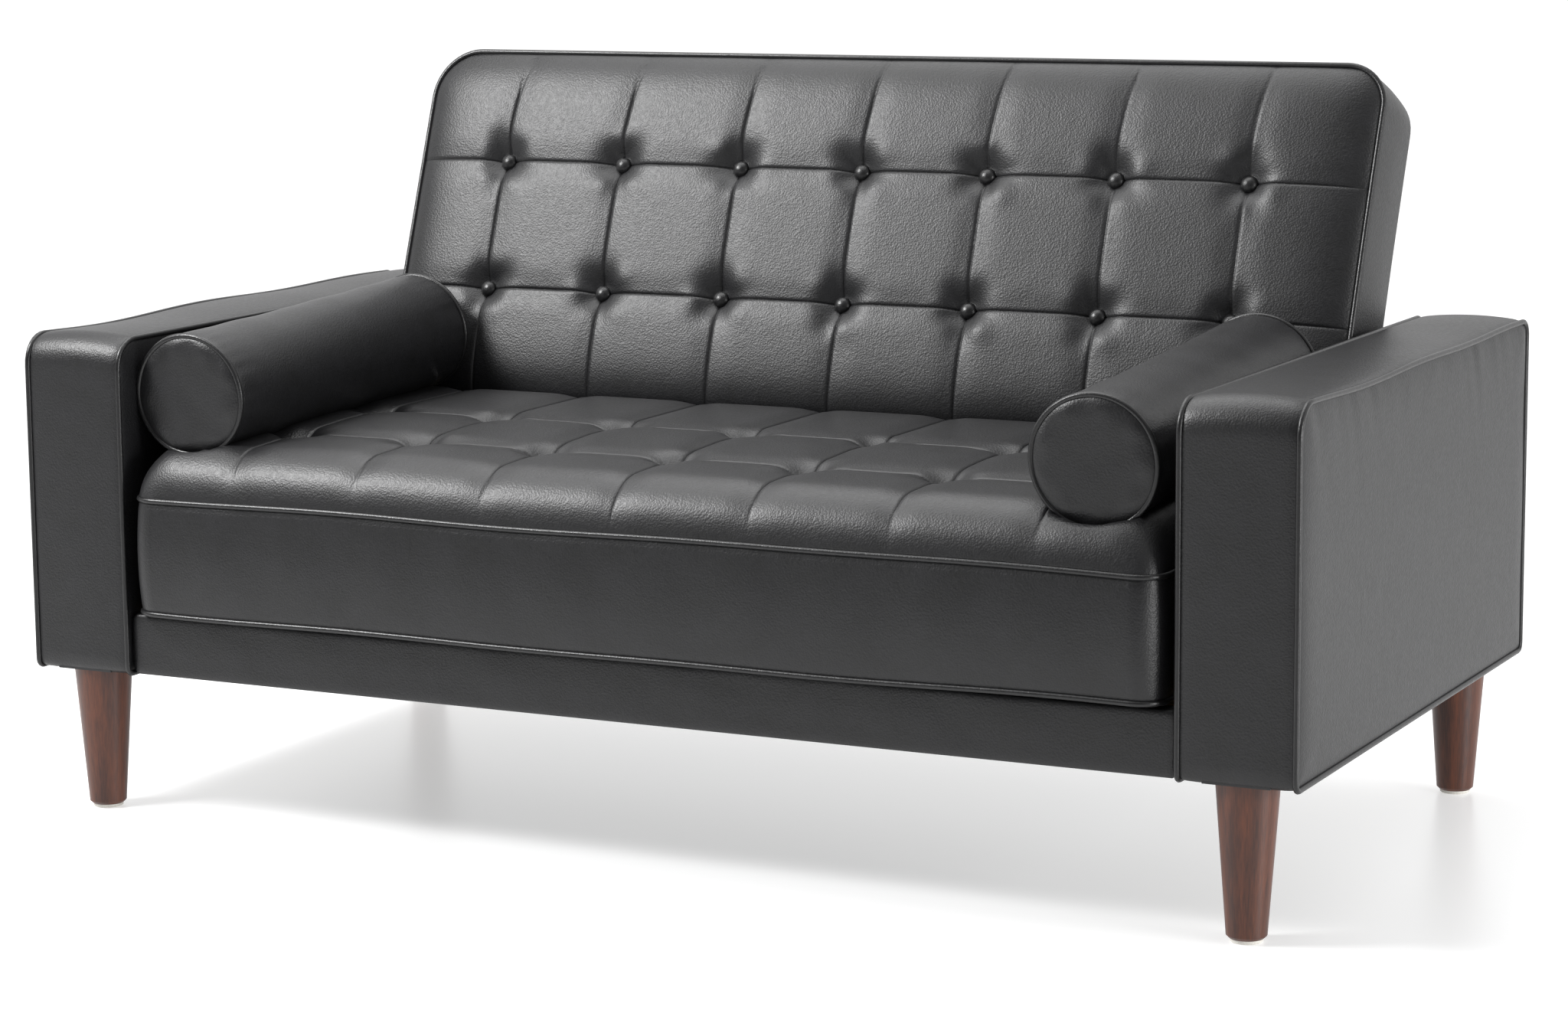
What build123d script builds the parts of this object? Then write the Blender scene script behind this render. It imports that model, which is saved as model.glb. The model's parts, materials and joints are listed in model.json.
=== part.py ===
from build123d import *
from math import atan2, cos, radians, sin, tan
import os

# Futon sofa bed: a two-seat sofa whose back folds down flat beside the seat.
# Millimetres. X runs along the sofa, Y from its front to its back, Z up from the floor.
# The origin is on the floor, in the middle of the overall width and depth.

# ---- driving dimensions -------------------------------------------------------------
overall_width = 1524.0          # over the piping of both arms
arm_width = 125.0               # one arm, between its side panels
arm_depth = 786.0               # over the piping
arm_top = 550.0                 # floor to the top of the arm's piping
arm_front_radius = 28.0         # the arm's upper front corner, seen from the side
arm_rear_radius = 16.0
arm_foot_radius = 9.0           # the two lower corners

leg_height = 166.0              # floor to the underside of the arms, glide included
leg_top_radius = 33.0
leg_foot_radius = 21.0
leg_foot_round = 3.0
leg_inset_x = 63.0              # leg axis from the arm's outer face
leg_inset_y = 38.0              # leg axis from the arm's front or rear face
glide_thickness = 4.0
glide_radius = 17.0
glide_edge = 1.0

seat_proud = 11.0               # the seat stands this far in front of the arms
seat_depth = 542.0              # seat front to the fold axis
hinge_room = 14.8               # cushion piping to the arm, for the hinge leaves and their play
seat_bottom = 239.0             # underside of the seat's lower piping
seat_roll_height = 48.0         # mean tufted top behind its front roll, above the upper piping
seat_front_rise = 3.0           # the same place above the fold axis
seat_rear_rise = 19.0           # and the top's rear edge above it
seat_front_roll = 56.0          # run of the rounded front edge of the top
seat_side_roll = 58.0
seat_rear_round = 22.0
seat_corner_radius = 18.0       # seen from above

fold_height = 417.0             # the fold axis, where the seat top meets the back
back_lean = 20.25               # degrees from upright
back_length = 451.0             # fold axis to the top edge, along the slope
back_thickness = 108.0
back_corner_radius = 56.0       # the two upper corners
back_foot_radius = 9.0          # the two lower corners
back_edge_round = 16.0          # the boxed rear edges
fold_gap = 4.0                  # fold axis to the seat, and to the back

rail_top = 236.0
rail_depth = 28.0               # front and rear rail with their covers, front to back
front_rail_recess = 6.0         # rail behind the arms' front faces
side_rail_thickness = 22.0
centre_beam_width = 44.0

piping_radius = 3.2
piping_proud = 2.2              # how far the piping stands out of both faces it joins
cover_wall = 5.0                # cover with its bonded wadding
rail_cover_wall = 3.0
bolster_wall = 4.0
ease = 0.3                      # clearance of soft pieces inside their covers
stitch_ease = 0.05              # clearance of the piping in its groove
overshoot = 1.0                 # how far a cutting shape passes the faces it cuts

board_thickness = 22.0
panel_thickness = 15.0          # the arm's inner plywood panel
back_board_width = 60.0
seat_board_height = 66.0
seat_front_pad = 18.0           # foam in front of the seat's front board
arm_padding_height = 18.0
spring_wire_radius = 1.8
seat_spring_count = 7
spring_bend_pitch = 46.0
spring_bend_reach = 22.0
spring_bend_slant = 0.15        # share of a bend's pitch that its slanting run takes up
spring_clip_reach = 8.0         # how far a spring lies on the boards at its ends
webbing_thickness = 2.0
webbing_width = 60.0
webbing_count = 6

button_radius = 10.5
button_height = 6.0
button_edge_round = 4.8
button_shank_radius = 2.5
button_shank_length = 20.0
button_columns = 7
button_margin = 135.5           # cushion's side to the first column
back_button_rows = (306.0, 144.0)   # down the slope from the top edge
seat_button_rows = (150.0, 325.0)   # back from the seat's front edge

bolster_radius = 69.0
bolster_length = 485.0
bolster_rear_gap = 8.0          # bolster's rear end in front of the fold axis
left_bolster_gap = 2.8          # bolster to its arm
right_bolster_gap = 30.8
right_bolster_shift = 10.0      # the right one lies this much further forward
bolster_piping_size = 6.0
groove_size = 3.0               # depth of the step that the bolster's piping lies in

leaf_thickness = 3.0
leaf_play = 1.0                 # between the stacked hinge plates
leaf_eye_radius = 24.0
seat_pad_length = 110.0         # the part of the seat's leaf that is fixed to its side
seat_pad_width = 40.0
seat_stud_spacing = 76.0
back_pad_length = 90.0          # and of the back's leaf, kept below the arm's top
back_pad_width = 34.0
back_stud_spacing = 62.0
leaf_stud_radius = 12.0
base_leaf_width = 90.0          # where the fixed leaf meets the side rail
base_leaf_foot = 60.0
base_leaf_rise = 40.0           # middle of that foot above the rail
seat_leaf_reach = 150.0         # fold axis to the middle of the seat's pad, forwards
seat_leaf_drop = 66.0           # and down
back_leaf_reach = 85.0          # the same for the back: up the slope
back_leaf_setback = 27.0        # and behind its front face
fold_bolt_radius = 6.0
running_fit = 0.05              # radial
bolt_head_height = 2.2
bolt_head_radius = 10.0
screw_fit = 0.1                 # radial clearance of bolts and shanks in their holes
ratchet_radius = 22.0
ratchet_notch = 4.0
ratchet_steps = (0.0, 23.25, 46.5, 69.75)
pawl_clearance = 0.5
pawl_angle = 225.0              # where the pawl meets the ratchet, from the rear level upwards
pawl_drop = 52.0                # pawl pin below the fold axis
pawl_pin_advance = 4.0          # and in front of it
pawl_pin_radius = 4.0
pawl_boss_radius = 8.0
pawl_tip_width = 5.0

arm_bolt_radius = 4.0
arm_bolt_head_radius = 8.0
arm_bolt_head_height = 4.0
leg_bolt_radius = 4.0
leg_bolt_reach = 30.0           # into the leg
plate_size = 72.0
rest_pad_radius = 11.0
rest_pad_spacing = 400.0        # along the front rail
beam_pad_places = (220.0, 20.0) # on the centre beam, in front of its middle
rail_bolt_end = 120.0           # end rail bolts from the faces of the front and rear rails
dust_cloth_thickness = 1.0
block_size = 45.0

# ---- places worked out from them ----------------------------------------------------
lean = radians(back_lean)
back_reach = (
    seat_depth
    + (back_length - piping_proud - back_edge_round) * sin(lean)
    + (back_thickness - back_edge_round) * cos(lean)
    + back_edge_round
)
overall_depth = max(seat_proud + arm_depth, back_reach)
seat_front_y = -overall_depth / 2
fold_y = seat_front_y + seat_depth
arm_front_y = seat_front_y + seat_proud + piping_proud
arm_rear_y = arm_front_y + arm_depth - 2 * piping_proud
arm_face_depth = arm_rear_y - arm_front_y
arm_mid_y = (arm_front_y + arm_rear_y) / 2
arm_base = leg_height
arm_face_top = arm_top - piping_proud
arm_outer_x = overall_width / 2 - piping_proud
arm_inner_x = arm_outer_x - arm_width
piping_size = 2 * piping_radius
rebate = piping_size - piping_proud + stitch_ease
cushion_width = 2 * (arm_inner_x - hinge_room)   # seat and back, over their piping
button_pitch = (cushion_width - 2 * button_margin) / (button_columns - 1)
seat_face_x = cushion_width / 2 - piping_proud
seat_face_y = seat_front_y + piping_proud
seat_rear_y = fold_y - fold_gap
seat_base = seat_bottom + piping_proud
seat_crown_front = fold_height + seat_front_rise
seat_crown_rear = fold_height + seat_rear_rise
seat_band_top = seat_crown_front - seat_roll_height
seat_slope = atan2(seat_crown_rear - seat_crown_front, seat_rear_y - seat_face_y)
back_face_x = cushion_width / 2 - piping_proud
rail_front_y = arm_front_y + front_rail_recess
rail_rear_y = arm_rear_y - front_rail_recess
rail_end_x = arm_inner_x - piping_proud - ease
leaf_step = leaf_thickness + leaf_play
base_leaf_x = arm_inner_x - leaf_thickness
seat_leaf_x = base_leaf_x - leaf_step
back_leaf_x = seat_leaf_x - leaf_step
fold_point = (0, fold_y, fold_height)

# The back's own plane: x along the sofa, y up the slope, z out of its front face.
back_plane = Plane(origin=fold_point, x_dir=(1, 0, 0), z_dir=(0, -cos(lean), sin(lean)))
sides = (("left", -1), ("right", 1))
os.makedirs("parts", exist_ok=True)


def save(part, name):
    """Label a finished piece and write its STEP file."""
    part.label = name
    export_step(part, f"parts/{name}.step")


def board(low, high):
    """Plain board between two opposite corners."""
    with BuildPart() as piece:
        with Locations(((low[0] + high[0]) / 2, (low[1] + high[1]) / 2, (low[2] + high[2]) / 2)):
            Box(abs(high[0] - low[0]), abs(high[1] - low[1]), high[2] - low[2])
    return piece.part


def welt(outline, start, direction):
    """Piping loop round `outline`, from the plane at `start` towards `direction`."""
    with BuildPart() as loop:
        extrude(outline(start, -piping_proud), amount=direction * piping_size)
        extrude(outline(start, piping_size - piping_proud), amount=direction * piping_size,
                mode=Mode.SUBTRACT)
    return loop.part


# ---- arms ---------------------------------------------------------------------------
def arm_outline(x, inset):
    """Side view of an arm on the plane at `x`, drawn `inset` inside its faces."""
    with BuildSketch(Plane.YZ.offset(x)) as outline:
        with Locations((arm_mid_y, (arm_base + arm_face_top) / 2)):
            Rectangle(arm_face_depth - 2 * inset, arm_face_top - arm_base - 2 * inset)
        corners = outline.vertices().sort_by(Axis.Y)
        front, rear = corners[2:].sort_by(Axis.X)
        fillet(front, arm_front_radius - inset)
        fillet(rear, arm_rear_radius - inset)
        fillet(corners[:2], arm_foot_radius - inset)
    return outline.sketch


def leg_places(side):
    """The two leg axes of one arm."""
    x = side * (arm_outer_x - leg_inset_x)
    return [(x, arm_front_y + leg_inset_y), (x, arm_rear_y - leg_inset_y)]


def rail_bolt_places():
    """Where the bolts hold a side rail to its arm."""
    z = (arm_base + rail_top) / 2
    return [(y, z) for y in (rail_front_y + rail_bolt_end, arm_mid_y,
                             rail_rear_y - rail_bolt_end)]


frame_inset = cover_wall + ease
frame_top = arm_face_top - frame_inset - arm_padding_height - ease
frame_front_y = arm_front_y + frame_inset + arm_padding_height + ease
frame_rear_y = arm_rear_y - frame_inset - ease
frame_base = arm_base + frame_inset
inner_wall_x = arm_inner_x + frame_inset
panel_end_x = inner_wall_x + panel_thickness
outer_wall_x = arm_outer_x - frame_inset
for word, side in sides:
    with BuildPart() as arm_cover:
        extrude(arm_outline(side * arm_inner_x, rebate), amount=side * arm_width)
        extrude(
            arm_outline(side * (arm_inner_x + rebate), 0),
            amount=side * (arm_width - 2 * rebate),
        )
        extrude(
            arm_outline(side * (arm_inner_x + cover_wall), cover_wall),
            amount=side * (arm_width - 2 * cover_wall),
            mode=Mode.SUBTRACT,
        )
        with BuildSketch(Plane.YZ.offset(side * arm_inner_x)):
            with Locations(*rail_bolt_places()):
                Circle(arm_bolt_radius + screw_fit)
            with Locations((fold_y, fold_height)):
                Circle(fold_bolt_radius + running_fit)
        extrude(amount=side * cover_wall, mode=Mode.SUBTRACT)
        with BuildSketch(Plane.XY.offset(arm_base)):
            with Locations(*leg_places(side)):
                Rectangle(plate_size + 2 * ease, plate_size + 2 * ease)
        extrude(amount=cover_wall, mode=Mode.SUBTRACT)
    save(arm_cover.part, f"arm_cover_{word}")

    loops = [
        welt(arm_outline, side * (arm_inner_x - piping_proud), side),
        welt(arm_outline, side * (arm_outer_x + piping_proud), -side),
    ]
    save(Compound(loops), f"arm_piping_{word}")

    with BuildPart() as arm_padding:
        extrude(
            arm_outline(side * inner_wall_x, frame_inset),
            amount=side * (outer_wall_x - inner_wall_x),
        )
        with BuildSketch(Plane.YZ.offset(side * inner_wall_x)):
            with Locations((frame_front_y - ease, frame_top + ease)):
                Rectangle(arm_face_depth, arm_face_top, align=(Align.MIN, Align.MAX))
        extrude(amount=side * (outer_wall_x - inner_wall_x), mode=Mode.SUBTRACT)
    save(arm_padding.part, f"arm_padding_{word}")

    with BuildPart() as inner_panel:
        with BuildSketch(Plane.YZ.offset(side * inner_wall_x)) as face:
            with Locations(((frame_front_y + frame_rear_y) / 2, (frame_base + frame_top) / 2)):
                Rectangle(frame_rear_y - frame_front_y, frame_top - frame_base)
            chamfer(face.vertices().group_by(Axis.X)[-1], arm_foot_radius)
            with Locations(*rail_bolt_places()):
                Circle(arm_bolt_radius + screw_fit, mode=Mode.SUBTRACT)
            with Locations((fold_y, fold_height)):
                Circle(fold_bolt_radius + running_fit, mode=Mode.SUBTRACT)
        extrude(amount=side * panel_thickness)
    boards = [inner_panel.part]
    board_ends = (frame_front_y, frame_rear_y - arm_foot_radius)
    near, far = side * panel_end_x, side * outer_wall_x
    with BuildPart() as foot_board:
        with Locations(((near + far) / 2, sum(board_ends) / 2, frame_base + board_thickness / 2)):
            Box(abs(far - near), board_ends[1] - board_ends[0], board_thickness)
        with Locations(*[(x, y, frame_base + board_thickness / 2) for x, y in leg_places(side)]):
            Cylinder(leg_bolt_radius + screw_fit, board_thickness, mode=Mode.SUBTRACT)
    boards.append(foot_board.part)
    boards.append(board((near, board_ends[0], frame_top - board_thickness),
                        (far, board_ends[1], frame_top)))
    for y in (board_ends[0], arm_mid_y, board_ends[1] - board_thickness):
        boards.append(board((near, y, frame_base + board_thickness),
                            (far, y + board_thickness, frame_top - board_thickness)))
    save(Compound(boards), f"arm_frame_{word}")


# ---- legs ---------------------------------------------------------------------------
legs = [(f"leg_{row}_{word}", leg_places(side)[k])
        for word, side in sides for k, row in enumerate(("front", "rear"))]
plates, leg_bolts, glides = [], [], []
for name, (x, y) in legs:
    with BuildPart() as leg:
        with BuildSketch(Plane.XZ.offset(-y)):
            with BuildLine():
                Polyline(
                    (x, glide_thickness),
                    (x + leg_foot_radius - leg_foot_round, glide_thickness),
                    (x + leg_foot_radius, glide_thickness + leg_foot_round),
                    (x + leg_top_radius, leg_height),
                    (x, leg_height),
                    close=True,
                )
            make_face()
        revolve(axis=Axis((x, y, 0), (0, 0, 1)))
        with Locations((x, y, leg_height - leg_bolt_reach / 2)):
            Cylinder(leg_bolt_radius + screw_fit, leg_bolt_reach, mode=Mode.SUBTRACT)
    save(leg.part, name)
    with BuildPart() as plate:
        with Locations((x, y, leg_height + cover_wall / 2)):
            Box(plate_size, plate_size, cover_wall)
            Cylinder(leg_bolt_radius + screw_fit, cover_wall, mode=Mode.SUBTRACT)
    plates.append(plate.part)
    with BuildPart() as leg_bolt:
        with Locations((x, y, leg_height - leg_bolt_reach + ease)):
            Cylinder(leg_bolt_radius, leg_bolt_reach + frame_inset + board_thickness - ease,
                     align=(Align.CENTER, Align.CENTER, Align.MIN))
    leg_bolts.append(leg_bolt.part)
    with BuildPart() as glide:
        with Locations((x, y, glide_thickness / 2)):
            Cylinder(glide_radius, glide_thickness)
        chamfer(glide.edges().sort_by(Axis.Z)[0], glide_edge)
    glides.append(glide.part)
save(Compound(plates), "leg_plates")
save(Compound(leg_bolts), "leg_bolts")
save(Compound(glides), "leg_glides")


# ---- base rails ---------------------------------------------------------------------
for name, y in (("front_rail", rail_front_y), ("rear_rail", rail_rear_y - rail_depth)):
    low = (-rail_end_x, y, arm_base)
    high = (rail_end_x, y + rail_depth, rail_top)
    inner_low = [value + rail_cover_wall for value in low]
    inner_high = [value - rail_cover_wall for value in high]
    with BuildPart() as rail_cover:
        add(board(low, high))
        add(board(inner_low, inner_high), mode=Mode.SUBTRACT)
    save(rail_cover.part, f"{name}_cover")
    save(board([value + ease for value in inner_low], [value - ease for value in inner_high]), name)

side_rail_front = rail_front_y + rail_depth
side_rail_rear = rail_rear_y - rail_depth
side_rail_base = arm_base + piping_size
rail_side_x = arm_inner_x - side_rail_thickness
bolts = []
for word, side in sides:
    with BuildPart() as side_rail:
        with BuildSketch(Plane.YZ.offset(side * rail_side_x)):
            with Locations(((side_rail_front + side_rail_rear) / 2, (side_rail_base + rail_top) / 2)):
                Rectangle(side_rail_rear - side_rail_front, rail_top - side_rail_base)
            with Locations(*rail_bolt_places()):
                Circle(arm_bolt_radius + screw_fit, mode=Mode.SUBTRACT)
        extrude(amount=side * side_rail_thickness)
    save(side_rail.part, f"side_rail_{word}")
    with BuildPart() as bolt:
        with BuildSketch(Plane.YZ.offset(side * (rail_side_x - arm_bolt_head_height))):
            with Locations(*rail_bolt_places()):
                Circle(arm_bolt_head_radius)
        extrude(amount=side * arm_bolt_head_height)
        with BuildSketch(Plane.YZ.offset(side * rail_side_x)):
            with Locations(*rail_bolt_places()):
                Circle(arm_bolt_radius)
        extrude(amount=side * (panel_end_x - rail_side_x))
    bolts.append(bolt.part)
save(Compound(bolts), "rail_bolts")

save(board((-centre_beam_width / 2, side_rail_front, arm_base),
           (centre_beam_width / 2, side_rail_rear, rail_top)), "centre_beam")

blocks = []
for word, side in sides:
    for y, turn in ((side_rail_front, 1), (side_rail_rear, -1)):
        with BuildPart() as block:
            with BuildSketch(Plane.XY.offset(side_rail_base)):
                with BuildLine():
                    Polyline((side * rail_side_x, y), (side * (rail_side_x - block_size), y),
                             (side * rail_side_x, y + turn * block_size), close=True)
                make_face()
            extrude(amount=rail_top - side_rail_base - cover_wall)
        blocks.append(block.part)
save(Compound(blocks), "corner_blocks")

with BuildPart() as rest_pads:
    with BuildSketch(Plane.XY.offset(rail_top)):
        with Locations(*[(0, arm_mid_y - ahead) for ahead in beam_pad_places]):
            Circle(rest_pad_radius)
        with Locations(*[(k * rest_pad_spacing, rail_front_y + rail_depth / 2) for k in (-1, 0, 1)]):
            Circle(rest_pad_radius)
    extrude(amount=seat_base - rail_top - stitch_ease)
save(rest_pads.part, "rest_pads")

save(board((-rail_side_x, side_rail_front, arm_base - dust_cloth_thickness),
           (rail_side_x, side_rail_rear, arm_base)), "dust_cloth")


# ---- fold hinges --------------------------------------------------------------------
seat_pad_mid = (fold_y - seat_leaf_reach, fold_height - seat_leaf_drop)
back_pad_mid = (back_leaf_reach, -back_leaf_setback)
pawl_pin_y = fold_y - pawl_pin_advance
pawl_pin_z = fold_height - pawl_drop
back_side_plane = Plane(origin=fold_point, x_dir=(0, sin(lean), cos(lean)), z_dir=(1, 0, 0))
pawl_side_plane = Plane(origin=fold_point, z_dir=(1, 0, 0),
                        x_dir=(0, cos(radians(pawl_angle)), sin(radians(pawl_angle))))


def stud_places(middle, spacing):
    """The two studs that hold a moving leaf's pad, either side of its middle."""
    return [(middle[0] + k * spacing / 2, middle[1]) for k in (-1, 1)]


for word, side in sides:
    with BuildPart() as base_leaf:
        with BuildSketch(Plane.YZ.offset(side * base_leaf_x)):
            with Locations((fold_y, fold_height)):
                Circle(leaf_eye_radius)
            with Locations((fold_y, rail_top + base_leaf_rise)):
                Rectangle(base_leaf_width, base_leaf_foot)
            make_hull()
            with Locations((fold_y, fold_height)):
                Circle(fold_bolt_radius + running_fit, mode=Mode.SUBTRACT)
        extrude(amount=side * leaf_thickness)
        with BuildSketch(Plane.YZ.offset(side * base_leaf_x)):
            with Locations((pawl_pin_y, pawl_pin_z)):
                Circle(pawl_pin_radius)
        extrude(amount=-side * (base_leaf_x - back_leaf_x + leaf_play))
    save(base_leaf.part, f"hinge_base_{word}")

    with BuildPart() as fold_bolt:
        with BuildSketch(Plane.YZ.offset(side * panel_end_x)):
            with Locations((fold_y, fold_height)):
                Circle(fold_bolt_radius)
        extrude(amount=-side * (panel_end_x - back_leaf_x + ease))
        with BuildSketch(Plane.YZ.offset(side * (back_leaf_x - ease))):
            with Locations((fold_y, fold_height)):
                Circle(bolt_head_radius)
        extrude(amount=-side * bolt_head_height)
        for x in (seat_leaf_x + leaf_thickness, back_leaf_x + leaf_thickness):
            with BuildSketch(Plane.YZ.offset(side * (x + stitch_ease))):
                with Locations((fold_y, fold_height)):
                    Circle(bolt_head_radius)
            extrude(amount=side * (leaf_play - 2 * stitch_ease))
    save(fold_bolt.part, f"fold_bolt_{word}")

    with BuildPart() as seat_leaf:
        with BuildSketch(Plane.YZ.offset(side * seat_leaf_x)):
            with Locations((fold_y, fold_height)):
                Circle(leaf_eye_radius)
            with Locations(seat_pad_mid):
                Rectangle(seat_pad_length, seat_pad_width)
            make_hull()
            with Locations((fold_y, fold_height)):
                Circle(fold_bolt_radius + running_fit, mode=Mode.SUBTRACT)
        extrude(amount=side * leaf_thickness)
        with BuildSketch(Plane.YZ.offset(side * seat_leaf_x)):
            with Locations(*stud_places(seat_pad_mid, seat_stud_spacing)):
                Circle(leaf_stud_radius)
        extrude(amount=-side * (seat_leaf_x - seat_face_x))
    save(seat_leaf.part, f"seat_leaf_{word}")

    with BuildPart() as back_leaf:
        with BuildSketch(back_side_plane.offset(side * back_leaf_x)):
            Circle(ratchet_radius)
            with Locations(back_pad_mid):
                Rectangle(back_pad_length, back_pad_width)
            make_hull()
            Circle(fold_bolt_radius + running_fit, mode=Mode.SUBTRACT)
            for step in ratchet_steps:
                turn = radians(pawl_angle + back_lean - 90 + step)
                with Locations((ratchet_radius * cos(turn), ratchet_radius * sin(turn))):
                    Circle(ratchet_notch / 2, mode=Mode.SUBTRACT)
        extrude(amount=side * leaf_thickness)
        with BuildSketch(back_side_plane.offset(side * back_leaf_x)):
            with Locations(*stud_places(back_pad_mid, back_stud_spacing)):
                Circle(leaf_stud_radius)
        extrude(amount=-side * (back_leaf_x - back_face_x))
    save(back_leaf.part, f"back_leaf_{word}")


# ---- seat ---------------------------------------------------------------------------
def seat_plan(z, inset):
    """The seat seen from above, on the plane at height `z`."""
    with BuildSketch(Plane.XY.offset(z)) as outline:
        with Locations((0, (seat_face_y + seat_rear_y) / 2)):
            RectangleRounded(2 * (seat_face_x - inset), seat_rear_y - seat_face_y - 2 * inset,
                             seat_corner_radius - inset)
    return outline.sketch


def seat_side_view(inset):
    """The seat's section from front to back: a flat band under a rolled, sloping top."""
    with BuildSketch(Plane.YZ.offset(-seat_face_x)) as outline:
        with BuildLine():
            Polyline(
                (seat_face_y + inset, seat_base + inset),
                (seat_face_y + inset, seat_crown_front - inset),
                (seat_rear_y - inset, seat_crown_rear - inset),
                (seat_rear_y - inset, seat_base + inset),
                close=True,
            )
        make_face()
        fillet(outline.vertices().sort_by_distance((seat_face_y, seat_crown_front))[0],
               seat_crown_front - seat_band_top - inset)
        fillet(outline.vertices().sort_by_distance((seat_rear_y, seat_crown_rear))[0],
               seat_rear_round - inset)
    return outline.sketch


def seat_end_view(inset):
    """The seat's section across the sofa, with both upper edges rolled."""
    half = seat_face_x - inset
    with BuildSketch(Plane.XZ.offset(-seat_rear_y - overshoot)) as outline:
        with Locations((0, (seat_base + seat_crown_rear) / 2)):
            Rectangle(2 * half, seat_crown_rear - seat_base - 2 * inset)
        fillet(outline.vertices().group_by(Axis.Y)[-1], seat_side_roll - inset)
    return outline.sketch


def seat_body(inset):
    """The seat's whole outer form, `inset` inside its cover's outer faces."""
    with BuildPart() as body:
        extrude(seat_plan(seat_base + inset, inset), amount=seat_crown_rear - seat_base - 2 * inset)
        extrude(seat_side_view(inset), amount=2 * seat_face_x, mode=Mode.INTERSECT)
        extrude(seat_end_view(inset), amount=seat_depth + 2 * overshoot, mode=Mode.INTERSECT)
    return body.part


def seat_groove(z):
    """The step round the seat that a piping loop lies in, from height `z` up."""
    with BuildPart() as groove:
        extrude(seat_plan(z, -piping_size), amount=piping_size + 2 * stitch_ease)
        extrude(seat_plan(z, rebate), amount=piping_size + 2 * stitch_ease, mode=Mode.SUBTRACT)
    return groove.part


def button_places(rows):
    """Grid of buttons over the given rows, counted across the sofa."""
    first = -button_pitch * (button_columns - 1) / 2
    return [(first + k * button_pitch, row) for row in rows for k in range(button_columns)]


seat_inset = cover_wall + ease
seat_board_top = seat_base + seat_inset + seat_board_height
spring_z = seat_board_top + spring_wire_radius
seat_foam_base = spring_z + spring_wire_radius + ease
seat_board_base = seat_base + seat_inset
seat_board_front = seat_face_y + seat_inset + seat_front_pad + ease
seat_board_rear = seat_rear_y - seat_inset
seat_board_x = seat_face_x - seat_inset
welt_low = (seat_bottom, seat_band_top - piping_radius)

with BuildPart() as seat_cover:
    add(seat_body(0))
    add(seat_body(cover_wall), mode=Mode.SUBTRACT)
    for low in welt_low:
        add(seat_groove(low - stitch_ease), mode=Mode.SUBTRACT)
    with BuildSketch(Plane.XY.offset(seat_crown_front - cover_wall - overshoot)):
        with Locations(*button_places([seat_front_y + row for row in seat_button_rows])):
            Circle(button_shank_radius + screw_fit)
    extrude(amount=seat_crown_rear - seat_crown_front + cover_wall + 2 * overshoot,
            mode=Mode.SUBTRACT)
save(seat_cover.part, "seat_cover")
save(Compound([welt(seat_plan, low, 1) for low in welt_low]), "seat_piping")

# Boards, with the corners of the front pad left to the foam.
front_end = seat_board_front + board_thickness
rear_start = seat_board_rear - board_thickness
inner_x = seat_board_x - board_thickness
corner = seat_corner_radius
save(board((-seat_board_x, seat_board_front, seat_board_base),
           (seat_board_x, front_end, seat_board_top)), "seat_front_board")
save(board((-seat_board_x + corner, rear_start, seat_board_base),
           (seat_board_x - corner, seat_board_rear, seat_board_top)), "seat_rear_board")
for word, side in sides:
    save(board((side * inner_x, front_end, seat_board_base),
               (side * seat_board_x, rear_start, seat_board_top)), f"seat_side_board_{word}")

springs = []
spring_run = seat_board_rear - seat_board_front - 2 * board_thickness + 2 * spring_clip_reach
bends = int(spring_run // spring_bend_pitch)
bend_step = spring_run / bends
spring_gap = 2 * inner_x / seat_spring_count
for k in range(seat_spring_count):
    x = -inner_x + spring_gap * (k + 0.5)
    start = front_end - spring_clip_reach
    points = [(x, start)]
    for bend in range(bends):
        reach = spring_bend_reach * (1 if bend % 2 else -1)
        points += [(x + reach, start + bend_step * (bend + spring_bend_slant)),
                   (x + reach, start + bend_step * (bend + 1 - spring_bend_slant))]
    points.append((x, start + spring_run))
    with BuildPart() as spring:
        with BuildSketch(Plane.XY.offset(spring_z - spring_wire_radius)):
            with BuildLine():
                Polyline(*points)
            trace(line_width=2 * spring_wire_radius)
        extrude(amount=2 * spring_wire_radius)
    springs.append(spring.part)
save(Compound(springs), "seat_springs")

with BuildPart() as seat_foam:
    add(seat_body(seat_inset))
    add(board((-seat_face_x, seat_board_front - ease, seat_base),
              (seat_face_x, seat_rear_y, seat_foam_base)), mode=Mode.SUBTRACT)
    with BuildSketch(Plane.XY.offset(seat_crown_front - button_shank_length - cover_wall)):
        with Locations(*button_places([seat_front_y + row for row in seat_button_rows])):
            Circle(button_shank_radius + screw_fit)
    extrude(amount=seat_crown_rear - seat_crown_front + button_shank_length + cover_wall,
            mode=Mode.SUBTRACT)
save(seat_foam.part, "seat_foam")


def covered_button():
    """A domed button on the XY plane, with its shank below."""
    with BuildPart() as button:
        Cylinder(button_radius, button_height, align=(Align.CENTER, Align.CENTER, Align.MIN))
        fillet(button.edges().sort_by(Axis.Z)[-1], button_edge_round)
        Cylinder(button_shank_radius, button_shank_length,
                 align=(Align.CENTER, Align.CENTER, Align.MAX))
    return button.part


buttons = []
for x, y in button_places([seat_front_y + row for row in seat_button_rows]):
    z = seat_crown_front + (y - seat_face_y) * tan(seat_slope)
    buttons.append(Plane((x, y, z + button_radius * tan(seat_slope))) * covered_button())
save(Compound(buttons), "seat_buttons")


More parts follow.
